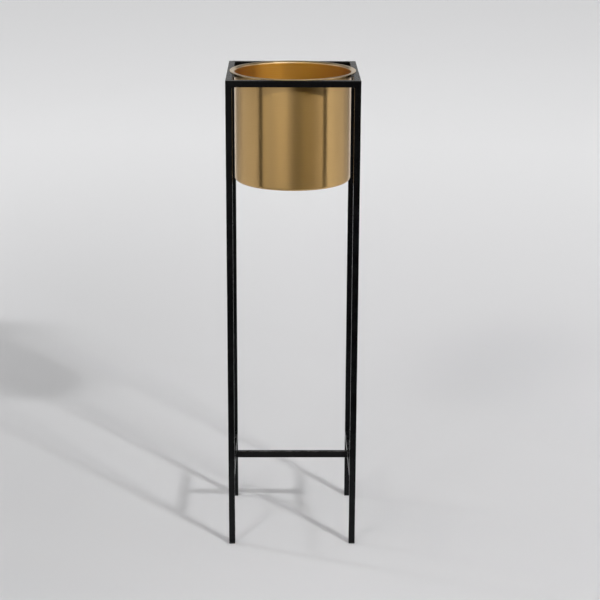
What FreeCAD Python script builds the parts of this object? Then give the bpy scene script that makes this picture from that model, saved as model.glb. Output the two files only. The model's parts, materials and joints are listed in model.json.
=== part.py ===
import FreeCAD
import Part
import Sketcher
import math
import os
import re

# A tall square plant stand of welded square tube, with a round spun-metal pot that drops into its top ring.
# Millimetres. The origin is on the floor under the middle of the stand, +Z is up and the front faces -Y.

# Every size that can be set by itself: cell alias, value, and what it measures.
SIZES = (
    ("stand_width", 270, "outer width of the square stand, the same both ways"),
    ("stand_height", 1000, "floor to the top of the ring"),
    ("tube_size", 13, "outer side of the square tube"),
    ("tube_wall", 1.2, "wall of the tube"),
    ("tube_corner_radius", 1.2, "outer corner of the tube"),
    ("stretcher_height", 147, "floor to the underside of the low stretchers"),
    ("pot_clearance", 1.5, "gap between the pot's wall and the ring, each side"),
    ("pot_height", 228.5, "pot's foot to the top of its rim"),
    ("pot_sheet", 0.7, "thickness of the pot's metal"),
    ("base_bend_radius", 6, "round of the outer edge where the wall turns into the base"),
    ("foot_ring_width", 12, "flat ring under the pot that it stands on"),
    ("panel_rise", 3, "step from the foot ring up to the base panel, at 45 degrees"),
    ("lip_bend_radius", 3, "round of the inner edge where the wall turns out into the rim"),
    ("rim_width", 9.5, "how far the rim stands out from the pot's wall"),
    ("hem_width", 5, "flat of the hem that is folded under the rim, which rests on the ring"),
    ("plug_head_height", 3, "part of a foot plug below the leg"),
    ("plug_edge_chamfer", 0.8, "bevel round a plug's underside"),
    ("plug_stem_length", 14, "part of a foot plug inside the leg"),
    ("plug_core_size", 8, "side of the stem between its ribs"),
    ("plug_rib_thickness", 1, "thickness of one gripping rib"),
    ("plug_rib_clearance", 0.05, "gap between a rib and the bore of the leg"),
    ("overrun", 2, "how far a cut runs past the faces that it cuts"),
)
PLUG_RIBS = 3
HEM_LAYERS = 2
STEP_ANGLE = 45
STEP_BEND_SHARE = math.tan(math.radians(STEP_ANGLE / 2))

# Sizes and places that follow from those, as expressions on the sheet.
TUBE_BORE = "(tube_size - 2 * tube_wall)"
BETWEEN_TUBES = "(stand_width - 2 * tube_size)"
TUBE_LINE = "((stand_width - tube_size) / 2)"
RING_LINE = "(stand_height - tube_size / 2)"
STRETCHER_LINE = "(stretcher_height + tube_size / 2)"
LEG_LENGTH = "(stand_height - tube_size - plug_head_height)"

WALL_RADIUS = f"({BETWEEN_TUBES} / 2 - pot_clearance)"
BORE_RADIUS = f"({WALL_RADIUS} - pot_sheet)"
RIM_THICKNESS = f"({HEM_LAYERS} * pot_sheet)"
HEM_RADIUS = f"({RIM_THICKNESS} / 2)"

CORNERS = (("front_left", -1, -1), ("front_right", 1, -1), ("rear_right", 1, 1), ("rear_left", -1, 1))
SIDES = (("front", 0, -1), ("right", 1, 0), ("rear", 0, 1), ("left", -1, 0))
UP = FreeCAD.Vector(0, 0, 1)

# How a sketch numbers the ends of an edge and its own origin, and what lines a corner up with that origin.
START, END = range(1, 3)
ORIGIN = (-1, 1)
IN_LINE = {"X": "Vertical", "Y": "Horizontal"}

doc = FreeCAD.newDocument("planter")
sheet = doc.addObject("Spreadsheet::Sheet", "Sizes")
for row, (alias, value, meaning) in enumerate(SIZES, start=1):
    sheet.set(f"A{row}", meaning)
    sheet.set(f"B{row}", str(value))
    sheet.setAlias(f"B{row}", alias)
doc.recompute()


def in_cells(expression):
    """The same expression with each alias looked up in the sheet."""
    return re.sub(r"[a-z_]+", lambda word: f"{sheet.Name}.{word.group()}", expression)


def number(expression):
    return sheet.evalExpression(in_cells(expression))


def bind(item, **expressions):
    for name, expression in expressions.items():
        item.setExpression(name.replace("__", "."), in_cells(expression))


def new_body(label, turn=0, **place):
    """A body that stands at the given place, turned about the upright by so many degrees."""
    body = doc.addObject("PartDesign::Body", label)
    body.Label = label
    body.Placement.Rotation = FreeCAD.Rotation(UP, turn)
    bind(body, **{f"Placement__Base__{axis}": expression for axis, expression in place.items()})
    return body


def own(body, role):
    """One of the body's own origin planes or axes."""
    return next(item for item in body.Origin.OriginFeatures if item.Role == role)


def arc_between(start, end, radius):
    """The short arc from start to end that turns to the left."""
    chord = end - start
    rise = math.sqrt(max(radius ** 2 - (chord.Length / 2) ** 2, 0))
    middle = (start + end) / 2 + FreeCAD.Vector(-chord.y, chord.x, 0).normalize() * rise
    angles = [math.atan2(point.y - middle.y, point.x - middle.x) for point in (start, end)]
    return Part.ArcOfCircle(Part.Circle(middle, UP, radius), *angles)


def tie(sketch, axis, edge, expression):
    """Hold one coordinate of the start of an edge at an expression on the sheet."""
    value = number(expression)
    corner = (edge, START)
    if value == 0:
        sketch.addConstraint(Sketcher.Constraint(IN_LINE[axis], *ORIGIN, *corner))
        return
    pair = (*ORIGIN, *corner) if value > 0 else (*corner, *ORIGIN)
    held = sketch.addConstraint(Sketcher.Constraint(f"Distance{axis}", *pair, abs(value)))
    sketch.setExpression(f"Constraints[{held}]", in_cells(expression if value > 0 else f"-{expression}"))


def draw_loop(sketch, corners):
    """A closed loop to the left: (across, up) for each corner, and a radius where an arc leaves it."""
    points = [FreeCAD.Vector(number(across), number(up), 0) for across, up, *_ in corners]
    edges = []
    for (_, _, *radius), start, end in zip(corners, points, points[1:] + points[:1]):
        line = arc_between(start, end, number(*radius)) if radius else Part.LineSegment(start, end)
        edges.append(sketch.addGeometry(line))
    for (across, up, *radius), edge, after in zip(corners, edges, edges[1:] + edges[:1]):
        sketch.addConstraint(Sketcher.Constraint("Coincident", edge, END, after, START))
        tie(sketch, "X", edge, across)
        tie(sketch, "Y", edge, up)
        if radius:
            held = sketch.addConstraint(Sketcher.Constraint("Radius", edge, number(*radius)))
            sketch.setExpression(f"Constraints[{held}]", in_cells(*radius))


def new_sketch(body, name, plane, *loops, level=None):
    """A sketch on one of the body's own planes, raised to a level if one is given."""
    sketch = body.newObject("Sketcher::SketchObject", name)
    sketch.AttachmentSupport = [(own(body, plane), "")]
    sketch.MapMode = "FlatFace"
    if level:
        bind(sketch, AttachmentOffset__Base__z=level)
    for corners in loops:
        draw_loop(sketch, corners)
    doc.recompute()
    return sketch


def square(side):
    """Corners of a square about the origin."""
    far = f"({side} / 2)"
    return (far, f"-{far}"), (far, far), (f"-{far}", far), (f"-{far}", f"-{far}")


def rounded_square(side, radius):
    """The same, each corner rounded by a quarter arc."""
    far = f"({side} / 2)"
    near = f"({side} / 2 - {radius})"
    return (
        (near, f"-{far}", radius), (far, f"-{near}"),
        (far, near, radius), (near, far),
        (f"-{near}", far, radius), (f"-{far}", near),
        (f"-{far}", f"-{near}", radius), (f"-{near}", f"-{far}"),
    )


def pad(body, name, sketch, length, side_type="One side"):
    feature = body.newObject("PartDesign::Pad", name)
    feature.Profile = sketch
    feature.SideType = side_type
    bind(feature, Length=length)
    doc.recompute()
    return feature


def square_tube(body, plane, length, side_type):
    """Hollow square tube with rounded corners, drawn on the plane that its length is square to."""
    outside = rounded_square("tube_size", "tube_corner_radius")
    section = new_sketch(body, "tube_section", plane, outside, square(TUBE_BORE))
    return pad(body, "tube", section, length, side_type)


def mitre_both_ends(body, tube):
    """Cut the tube's ends at 45 degrees, so that its -Y side keeps the full length."""
    end = "(stand_width / 2 + overrun)"
    outer = "(tube_size / 2 + overrun)"
    waste = ((end, f"-{outer}"), (end, outer), (f"({end} - 2 * {outer})", outer))
    cut = body.newObject("PartDesign::Pocket", "mitre")
    cut.Profile = new_sketch(body, "mitre_waste", "XY_Plane", waste)
    cut.Type = "ThroughAll"
    cut.SideType = "Symmetric"
    mirrored = body.newObject("PartDesign::Mirrored", "other_mitre")
    mirrored.Originals = [cut]
    mirrored.MirrorPlane = (own(body, "YZ_Plane"), [""])
    body.Tip = mirrored
    doc.recompute()
    section = tube.Shape.Volume / number("stand_width")
    left_over = section * number("stand_width - tube_size")
    if not math.isclose(mirrored.Shape.Volume, left_over, rel_tol=1e-6):
        raise RuntimeError(f"{body.Label}: the mitres took off the wrong volume")


def make_leg(corner, across, back):
    """Upright tube from its foot plug to the underside of the ring."""
    body = new_body(
        f"{corner}_leg", x=f"{across} * {TUBE_LINE}", y=f"{back} * {TUBE_LINE}", z="plug_head_height"
    )
    square_tube(body, "XY_Plane", LEG_LENGTH, "One side")
    return body


def make_top_rail(side, across, back):
    """One mitred side of the ring, built along X with its outer face to -Y and then turned to its side."""
    turn = math.degrees(math.atan2(across, -back))
    body = new_body(
        f"{side}_top_rail", turn, x=f"{across} * {TUBE_LINE}", y=f"{back} * {TUBE_LINE}", z=RING_LINE
    )
    mitre_both_ends(body, square_tube(body, "YZ_Plane", "stand_width", "Symmetric"))
    return body


def make_stretcher(label, turn, across):
    """Square-ended tube between two legs, or between the two side stretchers."""
    body = new_body(label, turn, x=f"{across} * {TUBE_LINE}", z=STRETCHER_LINE)
    square_tube(body, "YZ_Plane", BETWEEN_TUBES, "Symmetric")
    return body


def make_foot_plug(corner, across, back):
    """Plastic insert that closes the end of a leg: a head on the floor and a ribbed stem in the bore."""
    body = new_body(f"{corner}_foot_plug", x=f"{across} * {TUBE_LINE}", y=f"{back} * {TUBE_LINE}")
    head_outline = rounded_square("tube_size", "tube_corner_radius")
    head = pad(body, "head", new_sketch(body, "head_outline", "XY_Plane", head_outline), "plug_head_height")
    faces = head.Shape.Faces
    underside = min(range(len(faces)), key=lambda index: faces[index].CenterOfMass.z)
    bevel = body.newObject("PartDesign::Chamfer", "bevelled_underside")
    bevel.Base = (head, [f"Face{underside + 1}"])
    bind(bevel, Size="plug_edge_chamfer")
    doc.recompute()
    core = new_sketch(body, "core_outline", "XY_Plane", square("plug_core_size"), level="plug_head_height")
    pad(body, "core", core, "plug_stem_length")
    rib_side = f"({TUBE_BORE} - 2 * plug_rib_clearance)"
    rib_level = "plug_head_height + plug_stem_length - plug_rib_thickness"
    rib_outline = new_sketch(body, "rib_outline", "XY_Plane", square(rib_side), level=rib_level)
    rib = pad(body, "rib", rib_outline, "plug_rib_thickness")
    ribs = body.newObject("PartDesign::LinearPattern", "ribs")
    ribs.Originals = [rib]
    ribs.Direction = (own(body, "Z_Axis"), [""])
    ribs.Reversed = True
    ribs.Occurrences = PLUG_RIBS
    bind(ribs, Length=f"plug_stem_length * {PLUG_RIBS - 1} / {PLUG_RIBS}")
    body.Tip = ribs
    doc.recompute()
    return body


def make_pot():
    """Spun pot: raised base panel, foot ring, straight wall and a rim with its edge folded under.

    Its two large bends are round on the side that shows and bevelled on the other side.
    """
    body = new_body("pot", z=f"stand_height + {RIM_THICKNESS} - pot_height")
    step_bend = f"({STEP_BEND_SHARE} * pot_sheet)"
    foot_corner = f"({WALL_RADIUS} - base_bend_radius)"
    ring_edge = f"({foot_corner} - foot_ring_width)"
    panel_edge = f"({ring_edge} - panel_rise)"
    lip_start = "(pot_height - lip_bend_radius)"
    lip_end = f"({BORE_RADIUS} + lip_bend_radius)"
    under_rim = "(pot_height - pot_sheet)"
    rim_radius = f"({WALL_RADIUS} + rim_width)"
    hem_axis = f"({rim_radius} - {HEM_RADIUS})"
    hem_end = f"({hem_axis} - hem_width)"
    hem_seat = f"(pot_height - {RIM_THICKNESS})"
    profile = (
        # underside of the base, from the axis out, and up the outside of the wall
        ("0", "panel_rise"), (panel_edge, "panel_rise"), (ring_edge, "0"),
        (foot_corner, "0", "base_bend_radius"), (WALL_RADIUS, "base_bend_radius"),
        # out under the rim to its hem, and along the flat that rests on the ring
        (WALL_RADIUS, lip_start), (lip_end, under_rim),
        (hem_end, under_rim), (hem_end, hem_seat),
        # round the edge in two quarter turns, back over the rim and down the inside of the wall
        (hem_axis, hem_seat, HEM_RADIUS),
        (rim_radius, f"{hem_seat} + {HEM_RADIUS}", HEM_RADIUS), (hem_axis, "pot_height"),
        (lip_end, "pot_height", "lip_bend_radius"), (BORE_RADIUS, lip_start),
        # inside of the base, back to the axis
        (BORE_RADIUS, "base_bend_radius"), (foot_corner, "pot_sheet"),
        (f"{ring_edge} + {step_bend}", "pot_sheet"),
        (f"{panel_edge} + {step_bend}", "panel_rise + pot_sheet"), ("0", "panel_rise + pot_sheet"),
    )
    sketch = new_sketch(body, "pot_profile", "XZ_Plane", profile)
    spun = body.newObject("PartDesign::Revolution", "spun_pot")
    spun.Profile = sketch
    spun.ReferenceAxis = (sketch, ["V_Axis"])
    doc.recompute()
    return body


def make_parts():
    for corner in CORNERS:
        yield make_leg(*corner)
        yield make_foot_plug(*corner)
    for side in SIDES:
        yield make_top_rail(*side)
    yield make_stretcher("left_stretcher", 90, -1)
    yield make_stretcher("right_stretcher", 90, 1)
    yield make_stretcher("cross_stretcher", 0, 0)
    yield make_pot()


def check(parts):
    """Stop on anything that failed quietly, before a file is written."""
    for item in doc.Objects:
        if {"Invalid", "Error"} & set(item.State):
            raise RuntimeError(f"{item.Label} failed: {item.State}")
        if item.TypeId == "Sketcher::SketchObject" and not item.FullyConstrained:
            raise RuntimeError(f"{item.Label} has a free corner")
    for part in parts:
        if part.Shape.isNull() or not part.Shape.isValid() or len(part.Shape.Solids) != 1:
            raise RuntimeError(f"{part.Label} is not one good solid")


parts = list(make_parts())
doc.recompute()
check(parts)
os.makedirs("parts", exist_ok=True)
for part in parts:
    part.Shape.exportStep(f"parts/{part.Label}.step")
    box = part.Shape.BoundBox
    print(f"{part.Label}: {part.Shape.Volume:.1f} mm3, z {box.ZMin:.2f} to {box.ZMax:.2f}")
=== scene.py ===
import bpy
import json
import math
from mathutils import Matrix, Vector


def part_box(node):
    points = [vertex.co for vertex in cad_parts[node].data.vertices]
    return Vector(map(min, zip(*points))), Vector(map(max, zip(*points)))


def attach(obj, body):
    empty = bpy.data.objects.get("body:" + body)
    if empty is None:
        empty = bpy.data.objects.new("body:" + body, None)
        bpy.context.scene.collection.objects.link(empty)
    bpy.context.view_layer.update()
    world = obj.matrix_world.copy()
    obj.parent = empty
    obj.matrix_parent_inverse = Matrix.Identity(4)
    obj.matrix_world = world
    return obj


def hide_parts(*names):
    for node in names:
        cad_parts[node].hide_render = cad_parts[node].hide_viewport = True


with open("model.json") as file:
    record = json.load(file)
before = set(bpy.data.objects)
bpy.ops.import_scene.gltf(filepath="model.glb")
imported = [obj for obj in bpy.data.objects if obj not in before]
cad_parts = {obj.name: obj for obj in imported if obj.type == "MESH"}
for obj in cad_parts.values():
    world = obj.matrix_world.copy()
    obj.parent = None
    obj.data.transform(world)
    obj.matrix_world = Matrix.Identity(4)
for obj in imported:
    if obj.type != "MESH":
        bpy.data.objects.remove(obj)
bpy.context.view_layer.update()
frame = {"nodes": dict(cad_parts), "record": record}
nodes = frame["nodes"]
slotOf = {part["node"]: part["material_slot"] for part in frame["record"]["subparts"]}
potLow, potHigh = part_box("pot")
mm = 0.001
bpy.context.scene.view_settings.view_transform = "Standard"
print("frame loaded:", len(nodes), "nodes")


# shader sums

class Wire:  # one output of a node tree, ready for sums
    def __init__(self, tree, socket=None):
        self.tree = tree
        self.socket = socket

    def add(self, kind, settings, inputs, output=0):
        node = self.tree.nodes.new(kind)
        for name, value in settings.items():
            setattr(node, name, value)
        for name, value in inputs.items():
            if isinstance(value, Wire):
                self.tree.links.new(value.socket, node.inputs[name])
            else:
                node.inputs[name].default_value = value
        return Wire(self.tree, node.outputs[output])

    def others(self, *names):  # more outputs of the same node
        return [Wire(self.tree, self.socket.node.outputs[name]) for name in names]

    def into(self, node, name):
        self.tree.links.new(self.socket, node.inputs[name])

    def calc(self, operation, first, second=0.0):
        return self.add("ShaderNodeMath", {"operation": operation}, {0: first, 1: second})

    def __add__(self, other):
        return self.calc("ADD", self, other)

    def __radd__(self, other):
        return self.calc("ADD", other, self)

    def __sub__(self, other):
        return self.calc("SUBTRACT", self, other)

    def __rsub__(self, other):
        return self.calc("SUBTRACT", other, self)

    def __mul__(self, other):
        return self.calc("MULTIPLY", self, other)

    def __rmul__(self, other):
        return self.calc("MULTIPLY", other, self)

    def mix(self, low, high):  # this value blends two colours
        return self.add("ShaderNodeMix", {"data_type": "RGBA"}, {0: self, 6: low, 7: high}, 2)

    def ramp(self, low, high):  # 0 below low, 1 above high
        settings = {"interpolation_type": "SMOOTHSTEP"}
        return self.add("ShaderNodeMapRange", settings, {0: self, 1: low, 2: high})


def newFinish(name, **constants):
    material = bpy.data.materials.new(name)
    material.use_nodes = True
    shader = material.node_tree.nodes["Principled BSDF"]
    for socket, value in constants.items():
        shader.inputs[socket.replace("_", " ")].default_value = value
    return material, shader, Wire(material.node_tree)


def noise(wire, vector, size, detail=2.0):
    inputs = {"Vector": vector, "Scale": 1 / size, "Detail": detail}
    return wire.add("ShaderNodeTexNoise", {}, inputs)


def bump(wire, height, distance, strength):
    inputs = {"Height": height, "Distance": distance, "Strength": strength}
    return wire.add("ShaderNodeBump", {}, inputs)


# the pot's sizes, which its finish follows too

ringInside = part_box("right_top_rail")[0].x
pot = {
    "segments": 256,
    "gap": 1.5 * mm,           # wall to ring
    "sheet": 0.7 * mm,
    "baseBend": 6 * mm,
    "footRing": 12 * mm,
    "panelRise": 3 * mm,
    "lipBend": 4.5 * mm,
    "rimWidth": 9.5 * mm,
    "hemFlat": 5 * mm,
    "hemRound": 0.65 * mm,
    "softEdge": 0.25 * mm,
    "bendSteps": 10,
    "smoothAngle": 40,
}


# finishes

blackCoat = {
    "colour": (0.0013, 0.0014, 0.0019, 1),
    "worn": (0.0026, 0.0027, 0.0033, 1),
    "roughness": 0.27,
    "spread": 0.08,            # how far the roughness wanders
    "specular": 0.17,
    "peel": 1.5 * mm,          # size of the orange peel
    "grain": 0.35 * mm,
    "cloud": 40 * mm,
    "peelHeight": 0.03 * mm,
    "peelStrength": 0.6,
    "grainShare": 0.3,         # height of the grain beside the peel
    "wornFrom": 0.35,          # the clouds between these two turn from fresh to worn
    "wornTo": 0.75,
}


def makeBlackCoat():
    material, shader, wire = newFinish("satin_black_coat", Specular_IOR_Level=blackCoat["specular"])
    place = wire.add("ShaderNodeTexCoord", {}, {}, "Object")
    peel = noise(wire, place, blackCoat["peel"], detail=1.0)
    grain = noise(wire, place, blackCoat["grain"])
    cloud = noise(wire, place, blackCoat["cloud"], detail=3.0)
    worn = cloud.ramp(blackCoat["wornFrom"], blackCoat["wornTo"])
    worn.mix(blackCoat["colour"], blackCoat["worn"]).into(shader, "Base Color")
    (blackCoat["roughness"] + (cloud + grain - 1.0) * blackCoat["spread"]).into(shader, "Roughness")
    height = peel + grain * blackCoat["grainShare"]
    bump(wire, height, blackCoat["peelHeight"], blackCoat["peelStrength"]).into(shader, "Normal")
    return material


plugPlastic = {
    "colour": (0.010, 0.010, 0.0105, 1),
    "scuffed": (0.035, 0.034, 0.033, 1),
    "roughness": 0.55,
    "specular": 0.4,
    "grain": 0.25 * mm,
    "scuff": 3 * mm,
    "scuffTop": 1.5 * mm,      # scuffs fade out this far above the floor
    "scuffFrom": 0.45,         # the pattern between these two turns from clean to scuffed
    "scuffTo": 0.7,
    "scuffRougher": 0.2,
    "grainSpread": 0.15,       # how far the roughness wanders
    "grainHeight": 0.02 * mm,
    "grainStrength": 0.6,
}


def makePlugPlastic():
    material, shader, wire = newFinish("moulded_plug", Specular_IOR_Level=plugPlastic["specular"])
    place = wire.add("ShaderNodeTexCoord", {}, {}, "Object")
    height = wire.add("ShaderNodeSeparateXYZ", {}, {0: place}, "Z")
    grain = noise(wire, place, plugPlastic["grain"])
    rubbed = noise(wire, place, plugPlastic["scuff"], detail=4.0)
    rubbed = rubbed.ramp(plugPlastic["scuffFrom"], plugPlastic["scuffTo"])
    scuff = rubbed * (1 - height.ramp(0, plugPlastic["scuffTop"]))
    scuff.mix(plugPlastic["colour"], plugPlastic["scuffed"]).into(shader, "Base Color")
    wander = scuff * plugPlastic["scuffRougher"] + (grain - 0.5) * plugPlastic["grainSpread"]
    (plugPlastic["roughness"] + wander).into(shader, "Roughness")
    bump(wire, grain, plugPlastic["grainHeight"], plugPlastic["grainStrength"]).into(shader, "Normal")
    return material


brass = {
    "colour": (0.71, 0.464, 0.198, 1),
    "shade": (0.68, 0.438, 0.180, 1),
    # darker, deeper colour inside the pot: partly its spun finish, partly painted shade of the hollow
    "inside": (0.68, 0.337, 0.047, 1),
    # pale rim and lip colour: partly wear, partly a painted highlight
    "worn": (0.81, 0.63, 0.40, 1),
    "lacquer": 0.08,
    "lacquerRoughness": 0.25,
    "roughness": 0.30,
    "insideRougher": 0.28,     # the inside is spun and not brushed as fine
    "anisotropic": 0.92,
    "turn": 0.25,              # quarter turn: the highlight runs across the brushing
    "hairline": 0.6 * mm,      # width of the finest brush lines
    "streak": 1.8 * mm,        # width of the broad ones
    "lineRoughness": 0.6,      # how strong the finer detail of the lines is
    "cloud": 70 * mm,
    "hairlineShare": 0.65,     # of the tone, the rest is the broad lines
    "toneFrom": 0.35,
    "toneTo": 0.65,
    "hairlineSpread": 0.02,    # how far each of the three moves the roughness
    "streakSpread": 0.01,
    "cloudSpread": 0.03,
    "lineHeight": 0.0015 * mm,
    "lineStrength": 0.4,
    "insideWash": 0.7,         # share of the inside's colour, partly painted shade, that the lines leave alone
    "wornGlintLipWash": 0.6,            # and of the lip's pale colour, part wear and part painted highlight
    "lip": 5 * mm,             # the rim and lip are painted paler this far down, partly wear and partly a painted highlight
}


def makeBrass():
    material, shader, wire = newFinish(
        "brushed_brass", Metallic=1.0,
        Anisotropic=brass["anisotropic"], Anisotropic_Rotation=brass["turn"],
        Coat_Weight=brass["lacquer"], Coat_Roughness=brass["lacquerRoughness"]
    )
    place = wire.add("ShaderNodeTexCoord", {}, {}, "Object")
    x, y, z = wire.add("ShaderNodeSeparateXYZ", {}, {0: place}).others("X", "Y", "Z")
    radius = wire.calc("SQRT", x * x + y * y)

    def lines(width, detail):  # each line runs all the way round the pot
        along = (radius + z) * (1 / width)
        inputs = {"W": along, "Scale": 1.0, "Detail": detail, "Roughness": brass["lineRoughness"]}
        return wire.add("ShaderNodeTexNoise", {"noise_dimensions": "1D"}, inputs)

    def wash(mask, share):  # a mask that the lines show through
        return mask * (share + tone * (1 - share))

    fine = lines(brass["hairline"], detail=3.0)
    broad = lines(brass["streak"], detail=2.0)
    cloud = noise(wire, place, brass["cloud"], detail=3.0)
    tone = fine * brass["hairlineShare"] + broad * (1 - brass["hairlineShare"])
    tone = tone.ramp(brass["toneFrom"], brass["toneTo"])
    hollow = 1 - radius.ramp(ringInside - pot["gap"] - pot["sheet"], ringInside - pot["gap"])
    bendTop = potLow.z + pot["baseBend"]
    inside = hollow * z.ramp(bendTop, bendTop + pot["baseBend"] / 2)
    lip = z.ramp(potHigh.z - brass["lip"], potHigh.z - brass["lip"] / 2)
    outer = tone.mix(brass["shade"], brass["colour"])
    # painted shade: the hollow of the pot takes the darker inside colour
    body = wash(inside, brass["insideWash"]).mix(outer, brass["inside"])
    # partly wear, partly painted highlight: the rim and lip turn paler
    wash(lip, brass["wornGlintLipWash"]).mix(body, brass["worn"]).into(shader, "Base Color")
    wander = (fine - 0.5) * brass["hairlineSpread"] + (broad - 0.5) * brass["streakSpread"]
    wander = wander + (cloud - 0.5) * brass["cloudSpread"]
    rougher = inside * (1 - lip) * brass["insideRougher"]
    (brass["roughness"] + wander + rougher).into(shader, "Roughness")
    bump(wire, fine, brass["lineHeight"], brass["lineStrength"]).into(shader, "Normal")
    return material


finishes = {
    "black_coat": makeBlackCoat(),
    "plug_plastic": makePlugPlastic(),
    "brass_finish": makeBrass(),
}
for name, node in nodes.items():
    node.data.materials.clear()
    node.data.materials.append(finishes[slotOf[name]])
print("finishes:", ", ".join(finishes))


# modelling

mergeReach = 0.001 * mm


def deselectAll():
    if bpy.context.object and bpy.context.object.mode != "OBJECT":
        bpy.ops.object.mode_set(mode="OBJECT")
    bpy.ops.object.select_all(action="DESELECT")


def selectEdges(piece, wanted):  # leaves the piece in edit mode with those edges selected
    bpy.ops.object.mode_set(mode="OBJECT")
    mesh = piece.data
    for parts in (mesh.vertices, mesh.edges, mesh.polygons):
        parts.foreach_set("select", [False] * len(parts))
    for edge in mesh.edges:
        edge.select = all(wanted(mesh.vertices[index].co) for index in edge.vertices)
    bpy.ops.object.mode_set(mode="EDIT")
    bpy.ops.mesh.select_mode(type="EDGE")


def closeUp(piece):  # merge doubles and turn every face outwards
    bpy.ops.object.mode_set(mode="EDIT")
    bpy.ops.mesh.select_all(action="SELECT")
    bpy.ops.mesh.remove_doubles(threshold=mergeReach)
    bpy.ops.mesh.normals_make_consistent(inside=False)
    bpy.ops.object.mode_set(mode="OBJECT")


def finishPiece(piece, body, slotName):
    piece.data.materials.clear()
    piece.data.materials.append(finishes[slotName])
    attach(piece, body)


# the spun pot

def makePot():
    sheet = pot["sheet"]
    wall = ringInside - pot["gap"]
    bore = wall - sheet
    rim = wall + pot["rimWidth"]
    foot, top = potLow.z, potHigh.z
    hemSeat = top - 2 * sheet
    hemEnd = rim - pot["hemRound"] - pot["hemFlat"]
    ringEdge = wall - pot["baseBend"] - pot["footRing"]
    panelEdge = ringEdge - pot["panelRise"]
    panel = foot + pot["panelRise"]
    stepShift = sheet * math.tan(math.radians(45 / 2))  # the step up to the panel slopes at 45 degrees
    corners = [  # radius, height, size of the round there
        (panelEdge, panel, 2 * sheet),
        (ringEdge, foot, sheet),
        (wall, foot, pot["baseBend"]),
        (wall, top - sheet, pot["lipBend"] - sheet),
        (hemEnd, top - sheet, 0),
        (hemEnd, hemSeat, pot["softEdge"]),
        (rim, hemSeat, pot["hemRound"]),
        (rim, top, pot["hemRound"]),
        (bore, top, pot["lipBend"]),
        (bore, foot + sheet, pot["baseBend"] - sheet),
        (ringEdge + stepShift, foot + sheet, 2 * sheet),
        (panelEdge + stepShift, panel + sheet, sheet),
    ]
    deselectAll()
    radius, height, _ = corners[0]
    bpy.ops.mesh.primitive_circle_add(
        vertices=pot["segments"], radius=radius, fill_type="NGON", location=(0, 0, height)
    )
    piece = bpy.context.object
    piece.name = "spun_pot"
    bpy.ops.object.transform_apply(location=True)
    bpy.ops.object.mode_set(mode="EDIT")
    bpy.ops.mesh.select_mode(type="FACE")
    bpy.ops.mesh.select_all(action="SELECT")
    for nextRadius, nextHeight, _ in corners[1:]:  # the disc travels along the profile
        bpy.ops.mesh.extrude_region_move(
            TRANSFORM_OT_translate={"value": (0, 0, nextHeight - height)}
        )
        share = nextRadius / radius
        bpy.ops.transform.resize(value=(share, share, 1), center_override=(0, 0, 0))
        radius, height = nextRadius, nextHeight
    closeUp(piece)
    near = 0.02 * mm

    def onCorner(point):
        return abs(point.xy.length - radius) < near and abs(point.z - height) < near

    for radius, height, size in corners:
        if size:
            selectEdges(piece, onCorner)
            bpy.ops.mesh.bevel(
                offset=size, offset_type="OFFSET", segments=pot["bendSteps"], profile=0.5,
                affect="EDGES", clamp_overlap=False
            )
    closeUp(piece)
    bpy.ops.object.shade_smooth_by_angle(angle=math.radians(pot["smoothAngle"]))
    weighted = piece.modifiers.new("weighted", "WEIGHTED_NORMAL")
    weighted.keep_sharp = True
    bpy.ops.object.modifier_apply(modifier="weighted")
    finishPiece(piece, "pot", "brass_finish")
    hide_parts("pot")
    print("pot:", len(piece.data.polygons), "faces")


makePot()


# weld beads in the inner corners of the stand

weld = {
    "leg": 1.8 * mm,           # reach onto each of the two faces
    "length": 8.4 * mm,
    "ripples": 7,
    "rippleSteps": 4,
    "dip": 0.90,               # size between two ripples
    "tip": 0.40,               # size of the two ends
    "sides": 24,
    "smoothAngle": 50,
}


def makeBead():  # a rippled rod, of which a quarter stays
    steps = weld["rippleSteps"] * weld["ripples"]
    step = weld["length"] / steps

    def sizeAt(index):
        along = 2 * index / steps - 1
        swell = weld["tip"] + (1 - weld["tip"]) * math.sqrt(1 - along ** 4)
        ripple = 0.5 - 0.5 * math.cos(2 * math.pi * index / weld["rippleSteps"])
        return swell * (weld["dip"] + (1 - weld["dip"]) * ripple)

    deselectAll()
    bpy.ops.mesh.primitive_circle_add(
        vertices=weld["sides"], radius=weld["leg"] * sizeAt(0), fill_type="NGON",
        location=(-weld["length"] / 2, 0, 0), rotation=(0, math.pi / 2, 0)
    )
    bead = bpy.context.object
    bpy.ops.object.transform_apply(location=True, rotation=True)
    bpy.ops.object.mode_set(mode="EDIT")
    bpy.ops.mesh.select_mode(type="FACE")
    bpy.ops.mesh.select_all(action="SELECT")
    for index in range(1, steps + 1):
        bpy.ops.mesh.extrude_region_move(TRANSFORM_OT_translate={"value": (step, 0, 0)})
        share = sizeAt(index) / sizeAt(index - 1)
        bpy.ops.transform.resize(value=(1, share, share), center_override=(0, 0, 0))
    for normal in ((0, 1, 0), (0, 0, 1)):
        bpy.ops.mesh.select_all(action="SELECT")
        bpy.ops.mesh.bisect(plane_co=(0, 0, 0), plane_no=normal, use_fill=True, clear_inner=True)
    closeUp(bead)
    bpy.ops.object.shade_smooth_by_angle(angle=math.radians(weld["smoothAngle"]))
    return bead


def placeBead(bead, name, corner, first, second):  # first and second are the normals of the two faces
    copy = bead.copy()
    copy.data = bead.data.copy()
    copy.name = name
    bpy.context.scene.collection.objects.link(copy)
    turn = Matrix((first.cross(second), first, second)).transposed().to_4x4()
    copy.data.transform(Matrix.Translation(corner) @ turn)
    finishPiece(copy, "stand", "black_coat")


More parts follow.
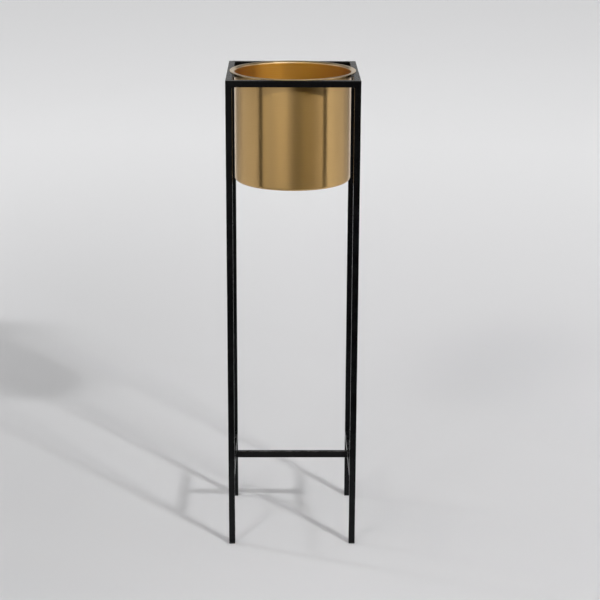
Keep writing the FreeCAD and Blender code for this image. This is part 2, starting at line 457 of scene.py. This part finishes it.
def weldStand():
    bead = makeBead()
    count = 0
    up = Vector((0, 0, 1))
    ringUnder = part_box("front_top_rail")[0].z
    barLow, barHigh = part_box("left_stretcher")
    crossLow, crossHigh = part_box("cross_stretcher")
    for end, inward in (("front", 1), ("rear", -1)):
        toMiddleY = Vector((0, inward, 0))
        for side, sideways in (("left", 1), ("right", -1)):
            toMiddleX = Vector((sideways, 0, 0))
            low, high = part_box(f"{end}_{side}_leg")
            middle = (low + high) / 2
            half = (high.x - low.x) / 2
            across = Vector((middle.x + sideways * half, middle.y, 0))
            along = Vector((middle.x, middle.y + inward * half, 0))
            barSide = crossLow.y if end == "front" else crossHigh.y
            crossEnd = Vector((across.x, barSide, (crossLow.z + crossHigh.z) / 2))
            seams = {  # where the corner is, and the normals of its two faces
                "ring_weld_across": (across + up * ringUnder, toMiddleX, -up),
                "ring_weld_along": (along + up * ringUnder, toMiddleY, -up),
                "stretcher_weld_upper": (along + up * barHigh.z, toMiddleY, up),
                "stretcher_weld_lower": (along + up * barLow.z, toMiddleY, -up),
                "cross_weld": (crossEnd, toMiddleX, -toMiddleY),
            }
            for seam, (corner, first, second) in seams.items():
                placeBead(bead, f"{end}_{side}_{seam}", corner, first, second)
            count += len(seams)
    bpy.data.objects.remove(bead)
    return count


print("welds:", weldStand(), "beads")


# stage

stage = {
    "floorSize": 80,
    "floorLeftShade": (0.55, 0.55, 0.56, 1),
    "floorNear": (0.645, 0.643, 0.655, 1),
    "floorFarLight": (0.955, 0.955, 0.965, 1),
    "leftEdge": -0.8,          # painted shade: the floor turns darker to the left, over this stretch
    "middle": 0.1,
    "farEdge": 5.0,            # and painted light: paler with the distance, up to here
    "floorRoughness": 0.9,
    "floorSpecular": 0.1,
    "ambient": 0.555,
    "backdrop": 0.71,
    "inMetal": 0.56,           # how bright the backdrop is in a reflection
}


def makeFloor():
    deselectAll()
    bpy.ops.mesh.primitive_plane_add(size=stage["floorSize"])
    floor = bpy.context.object
    floor.name = "studio_floor"
    material, shader, wire = newFinish(
        "pale_floor", Roughness=stage["floorRoughness"], Specular_IOR_Level=stage["floorSpecular"]
    )
    place = wire.add("ShaderNodeTexCoord", {}, {}, "Object")
    x, y = wire.add("ShaderNodeSeparateXYZ", {}, {0: place}).others("X", "Y")
    # painted shade to the left and painted light far off, in the floor's colour
    near = x.ramp(stage["leftEdge"], stage["middle"]).mix(stage["floorLeftShade"], stage["floorNear"])
    away = wire.calc("SQRT", x * x + y * y)
    away.ramp(0, stage["farEdge"]).mix(near, stage["floorFarLight"]).into(shader, "Base Color")
    floor.data.materials.append(material)


def makeWorld():
    world = bpy.data.worlds.new("studio")
    bpy.context.scene.world = world
    world.use_nodes = True
    background = world.node_tree.nodes["Background"]
    background.inputs["Color"].default_value = (1, 1, 1, 1)
    wire = Wire(world.node_tree)
    rays = ("Is Camera Ray", "Is Transmission Ray", "Is Glossy Ray")
    camera, through, glossy = wire.add("ShaderNodeLightPath", {}, {}).others(*rays)
    seen = wire.calc("MAXIMUM", camera, through)
    level = stage["ambient"] + seen * (stage["backdrop"] - stage["ambient"])
    (level + glossy * (stage["inMetal"] - stage["ambient"])).into(background, "Strength")


makeFloor()
makeWorld()


# cards round the set that only show in reflections: left and right are how bright each end is

tints = {"plain": (1, 1, 1, 1), "pale": (1, 0.94, 0.80, 1), "warm": (1, 0.88, 0.52, 1)}
cardDistance = 3.0
cards = {  # upright: from and to are degrees round from the front to the right
    "dark_room": {
        "from": -66, "to": 66, "distance": 4.6, "bottom": 0, "top": 5.0,
        "left": 0.07, "right": 0.07, "tint": "warm"
    },
    "left_panel": {"from": -72, "to": -36, "bottom": 0, "top": 2.6, "left": 0.45, "right": 0.71},
    "front_panel": {"from": -36, "to": -16, "bottom": 0, "top": 2.6, "left": 0.67, "right": 0.78},
    "front_end": {"from": -16, "to": 6, "bottom": 0, "top": 2.6, "left": 0.78, "right": 0.02},
    "left_side": {"from": -118, "to": -74, "bottom": 0, "top": 1.3, "left": 0.50, "right": 0.46},
    "right_side": {"from": 92, "to": 118, "bottom": 0, "top": 1.3, "left": 0.54, "right": 0.50},
    "right_low": {"from": 38, "to": 68, "bottom": 0, "top": 1.3, "left": 0.05, "right": 0.40},
    "side_panel": {"from": 70, "to": 92, "bottom": 0, "top": 2.6, "left": 0.76, "right": 0.60},
    "back_lamp": {"from": -118, "to": -84, "bottom": 2.7, "top": 3.4, "left": 1.1, "right": 1.1},
    "over_left": {"from": -84, "to": -50, "bottom": 2.9, "top": 3.7, "left": 0.6, "right": 0.9},
    "over_fade": {"from": -10, "to": 14, "bottom": 3.0, "top": 4.6, "left": 2.4, "right": 4.6},
    "over_key": {"from": 14, "to": 44, "bottom": 3.0, "top": 4.6, "left": 4.6, "right": 5.4},
    "over_right": {"from": 58, "to": 110, "bottom": 2.9, "top": 3.7, "left": 0.5, "right": 0.2},
    "dark_back": {
        "from": 125, "to": 235, "distance": 4.6, "bottom": 2.5, "top": 5.0,
        "left": 0.08, "right": 0.08
    },
    "left_rear": {"from": -150, "to": -118, "bottom": 0, "top": 4.0, "left": 0.30, "right": 0.36},
    "right_rear": {"from": 118, "to": 150, "bottom": 0, "top": 4.0, "left": 0.36, "right": 0.30},
}
strip = {"y": -3.5, "z": 3.56, "depth": 0.8}  # one long light in front, made of stretches
stretches = {  # from and to are places along X
    "strip_left": {"from": -9.0, "to": -4.2, "left": 1.5, "right": 8, "tint": "warm"},
    "front_strip": {"from": -4.2, "to": 3.0, "left": 8, "right": 10, "tint": "warm"},
    "strip_end": {"from": 3.0, "to": 9.0, "left": 14, "right": 24, "tint": "pale"},
    "strip_tail": {"from": 9.0, "to": 14.0, "left": 12, "right": 1, "tint": "pale"},
}
levelCards = {  # lying flat: place of the middle, width and depth
    "dark_ground": {
        "place": (0, -4.05, 0.5 * mm), "width": 12, "depth": 6.8,
        "left": 0.05, "right": 0.05, "tint": "warm"
    },
    "dark_ceiling": {
        "place": (0, 0, 5.0), "width": 9, "depth": 9,
        "left": 0.08, "right": 0.08, "tint": "warm"
    },
}


def glow(name, panel):  # brightness runs across the card
    material = bpy.data.materials.new(name)
    material.use_nodes = True
    tree = material.node_tree
    tree.nodes.remove(tree.nodes["Principled BSDF"])
    wire = Wire(tree)
    place = wire.add("ShaderNodeTexCoord", {}, {}, "UV")
    across = wire.add("ShaderNodeSeparateXYZ", {}, {0: place}, "X")
    strength = panel["left"] + across * (panel["right"] - panel["left"])
    tint = tints[panel.get("tint", "plain")]
    light = wire.add("ShaderNodeEmission", {}, {"Color": tint, "Strength": strength})
    light.into(tree.nodes["Material Output"], "Surface")
    return material


def newCard(name, width, depth, panel):
    deselectAll()
    bpy.ops.mesh.primitive_plane_add(size=1)
    card = bpy.context.object
    card.name = name
    card.scale = (width, depth, 1)
    card.data.materials.append(glow(name, panel))
    for sort in ("camera", "diffuse", "transmission", "volume_scatter", "shadow"):
        setattr(card, "visible_" + sort, False)
    return card


for name, panel in cards.items():
    middle = math.radians((panel["from"] + panel["to"]) / 2)
    half = math.radians((panel["to"] - panel["from"]) / 2)
    away = panel.get("distance", cardDistance)
    height = (panel["top"] + panel["bottom"]) / 2
    card = newCard(name, 2 * away * math.tan(half), panel["top"] - panel["bottom"], panel)
    card.rotation_euler = (math.pi / 2, 0, middle)
    card.location = (away * math.sin(middle), -away * math.cos(middle), height)
for name, panel in stretches.items():
    card = newCard(name, panel["to"] - panel["from"], strip["depth"], panel)
    card.location = ((panel["from"] + panel["to"]) / 2, strip["y"], strip["z"])
for name, panel in levelCards.items():
    card = newCard(name, panel["width"], panel["depth"], panel)
    card.location = panel["place"]


# lamps: level is what each adds to a white floor under the stand

lamps = {
    "key": {"place": (2.78, -3.52, 3.76), "width": 0.24, "height": 0.16, "level": 0.17},
    "key_twin": {"place": (2.44, -3.52, 3.76), "width": 0.24, "height": 0.16, "level": 0.11},
    "fill": {"place": (-1.90, -3.46, 3.80), "width": 0.50, "height": 0.50, "level": 0.09},
    "back": {"place": (-3.60, 1.30, 3.24), "width": 0.16, "height": 0.16, "level": 0.075},
}


def makeLamp(name, lamp):
    toward = Vector(lamp["place"]).normalized()
    data = bpy.data.lights.new(name, "AREA")
    data.shape = "RECTANGLE"
    data.size = lamp["width"]
    data.size_y = lamp["height"]
    data.energy = lamp["level"] * math.pi ** 2 / toward.z
    data.use_nodes = True
    wire = Wire(data.node_tree)
    # as bright far off as near
    even = wire.add("ShaderNodeLightFalloff", {}, {"Strength": 1.0}, "Constant")
    even.into(data.node_tree.nodes["Emission"], "Strength")
    panel = bpy.data.objects.new(name, data)
    panel.location = lamp["place"]
    panel.rotation_euler = toward.to_track_quat("Z", "Y").to_euler()
    panel.visible_glossy = False  # the cards are what the metal shows
    bpy.context.scene.collection.objects.link(panel)


for name, lamp in lamps.items():
    makeLamp(name, lamp)
print("stage:", len(cards) + len(stretches) + len(levelCards), "cards and", len(lamps), "lamps")


# camera

view = {
    "place": (-0.0245, -3.3743, 1.5190),
    "yaw": 0.7011,
    "pitch": 16.6891,          # down from level
    "roll": 0.2450,
    "lens": 98.63,
    "sensor": 36,
}


def makeCamera():
    data = bpy.data.cameras.new("camera")
    data.lens = view["lens"]
    data.sensor_width = view["sensor"]
    camera = bpy.data.objects.new("camera", data)
    turn = Matrix.Rotation(math.radians(-view["yaw"]), 4, "Z")
    tilt = Matrix.Rotation(math.radians(90 - view["pitch"]), 4, "X")
    roll = Matrix.Rotation(math.radians(view["roll"]), 4, "Z")
    camera.matrix_world = Matrix.Translation(view["place"]) @ turn @ tilt @ roll
    bpy.context.scene.collection.objects.link(camera)
    bpy.context.scene.camera = camera


makeCamera()
